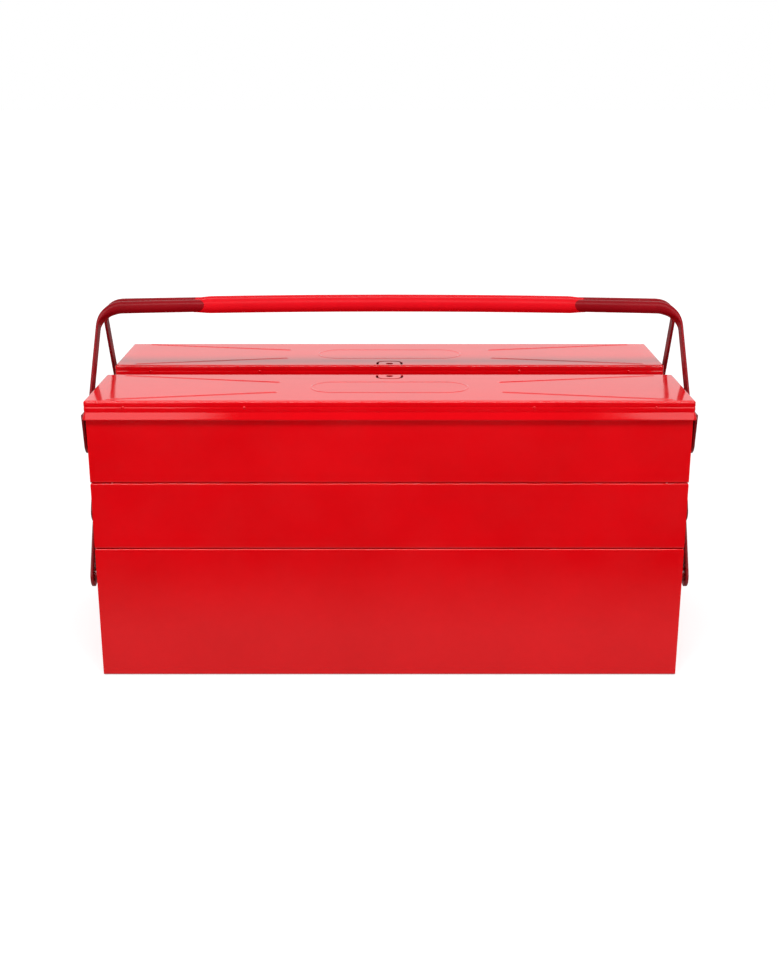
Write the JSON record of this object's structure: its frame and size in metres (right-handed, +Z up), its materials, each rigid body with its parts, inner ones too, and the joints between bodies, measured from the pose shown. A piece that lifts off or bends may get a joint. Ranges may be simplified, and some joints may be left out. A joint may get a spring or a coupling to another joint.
{
  "type": "cantilever tool box",
  "caption": "Sheet-steel cantilever tool box: lidded top trays and mid trays swing out on arms from a base, with two carrying handles that close together.",
  "frame": {"origin": "middle of the base's underside, on the floor", "axes": "+X along the box, front is -Y, +Z up"},
  "size_m": [0.5542, 0.2504, 0.3326],
  "materials": {
    "paint": "gloss",
    "arm_paint": "gloss",
    "steel": "zinc plated"
  },
  "bodies": {
    "base": {"base_wrap": "paint", "base_end_left": "paint", "base_end_right": "paint", "base_spacers": "arm_paint", "base_rivets": "steel"},
    "front_long_arms": {"front_long_arm_left": "arm_paint", "front_long_arm_right": "arm_paint"},
    "front_lower_arms": {"front_lower_arm_left": "arm_paint", "front_lower_arm_right": "arm_paint"},
    "front_upper_arms": {"front_upper_arm_left": "arm_paint", "front_upper_arm_right": "arm_paint"},
    "front_mid_tray": {"front_mid_tray_wrap": "paint", "front_mid_tray_end_left": "paint", "front_mid_tray_end_right": "paint", "front_mid_tray_spacers": "arm_paint", "front_mid_tray_rivets": "steel"},
    "front_top_tray": {"front_top_tray_wrap": "paint", "front_top_tray_end_left": "paint", "front_top_tray_end_right": "paint", "front_top_tray_spacers": "arm_paint", "front_top_tray_rivets": "steel", "front_lid_rivets": "steel", "front_handle_rivets": "steel"},
    "front_lid": {"front_lid_shell": "paint", "front_lid_ear_left": "arm_paint", "front_lid_ear_right": "arm_paint"},
    "front_handle": {"front_handle_bar": "paint", "front_handle_leg_left": "paint", "front_handle_leg_right": "paint", "front_handle_grip": "paint"},
    "rear_long_arms": {"rear_long_arm_left": "arm_paint", "rear_long_arm_right": "arm_paint"},
    "rear_lower_arms": {"rear_lower_arm_left": "arm_paint", "rear_lower_arm_right": "arm_paint"},
    "rear_upper_arms": {"rear_upper_arm_left": "arm_paint", "rear_upper_arm_right": "arm_paint"},
    "rear_mid_tray": {"rear_mid_tray_wrap": "arm_paint", "rear_mid_tray_end_left": "arm_paint", "rear_mid_tray_end_right": "arm_paint", "rear_mid_tray_spacers": "arm_paint", "rear_mid_tray_rivets": "steel"},
    "rear_top_tray": {"rear_top_tray_wrap": "arm_paint", "rear_top_tray_end_left": "arm_paint", "rear_top_tray_end_right": "arm_paint", "rear_top_tray_spacers": "arm_paint", "rear_top_tray_rivets": "steel", "rear_lid_rivets": "steel", "rear_handle_rivets": "steel"},
    "rear_lid": {"rear_lid_shell": "arm_paint", "rear_lid_ear_left": "arm_paint", "rear_lid_ear_right": "arm_paint"},
    "rear_handle": {"rear_handle_bar": "arm_paint", "rear_handle_leg_left": "arm_paint", "rear_handle_leg_right": "arm_paint", "rear_handle_grip": "arm_paint"}
  },
  "joints": [
    {"name": "front_open", "type": "hinge", "parent": "base", "child": "front_long_arms", "pos_m": [0, -0.107, 0.0942], "axis": [1, 0, 0], "range_deg": [0, 57.64]},
    {"name": "front_mid_tray_level", "type": "hinge", "parent": "front_long_arms", "child": "front_mid_tray", "pos_m": [0, -0.073, 0.156], "axis": [1, 0, 0], "range_deg": [-57.64, 0]},
    {"name": "front_top_tray_level", "type": "hinge", "parent": "front_long_arms", "child": "front_top_tray", "pos_m": [0, -0.039, 0.2178], "axis": [1, 0, 0], "range_deg": [-57.64, 0]},
    {"name": "front_lower_arms_swing", "type": "hinge", "parent": "base", "child": "front_lower_arms", "pos_m": [0, -0.073, 0.0942], "axis": [1, 0, 0], "range_deg": [0, 57.64]},
    {"name": "front_upper_arms_swing", "type": "hinge", "parent": "front_mid_tray", "child": "front_upper_arms", "pos_m": [0, -0.107, 0.156], "axis": [1, 0, 0], "range_deg": [0, 57.64]},
    {"name": "front_lid_open", "type": "hinge", "parent": "front_top_tray", "child": "front_lid", "pos_m": [0, -0.099, 0.22], "axis": [1, 0, 0], "range_deg": [0, 90]},
    {"name": "front_handle_swing", "type": "hinge", "parent": "front_top_tray", "child": "front_handle", "pos_m": [0, -0.066, 0.233], "axis": [1, 0, 0], "range_deg": [0, 120]},
    {"name": "rear_open", "type": "hinge", "parent": "base", "child": "rear_long_arms", "pos_m": [0, 0.107, 0.0942], "axis": [-1, 0, 0], "range_deg": [0, 57.64]},
    {"name": "rear_mid_tray_level", "type": "hinge", "parent": "rear_long_arms", "child": "rear_mid_tray", "pos_m": [0, 0.073, 0.156], "axis": [-1, 0, 0], "range_deg": [-57.64, 0]},
    {"name": "rear_top_tray_level", "type": "hinge", "parent": "rear_long_arms", "child": "rear_top_tray", "pos_m": [0, 0.039, 0.2178], "axis": [-1, 0, 0], "range_deg": [-57.64, 0]},
    {"name": "rear_lower_arms_swing", "type": "hinge", "parent": "base", "child": "rear_lower_arms", "pos_m": [0, 0.073, 0.0942], "axis": [-1, 0, 0], "range_deg": [0, 57.64]},
    {"name": "rear_upper_arms_swing", "type": "hinge", "parent": "rear_mid_tray", "child": "rear_upper_arms", "pos_m": [0, 0.107, 0.156], "axis": [-1, 0, 0], "range_deg": [0, 57.64]},
    {"name": "rear_lid_open", "type": "hinge", "parent": "rear_top_tray", "child": "rear_lid", "pos_m": [0, 0.099, 0.22], "axis": [-1, 0, 0], "range_deg": [0, 90]},
    {"name": "rear_handle_swing", "type": "hinge", "parent": "rear_top_tray", "child": "rear_handle", "pos_m": [0, 0.066, 0.233], "axis": [-1, 0, 0], "range_deg": [0, 120]}
  ],
  "couplings": [
    {"joint": "front_mid_tray_level", "follows": "front_open", "ratio": -1},
    {"joint": "front_top_tray_level", "follows": "front_open", "ratio": -1},
    {"joint": "front_lower_arms_swing", "follows": "front_open", "ratio": 1},
    {"joint": "front_upper_arms_swing", "follows": "front_open", "ratio": 1},
    {"joint": "rear_mid_tray_level", "follows": "rear_open", "ratio": -1},
    {"joint": "rear_top_tray_level", "follows": "rear_open", "ratio": -1},
    {"joint": "rear_lower_arms_swing", "follows": "rear_open", "ratio": 1},
    {"joint": "rear_upper_arms_swing", "follows": "rear_open", "ratio": 1}
  ]
}
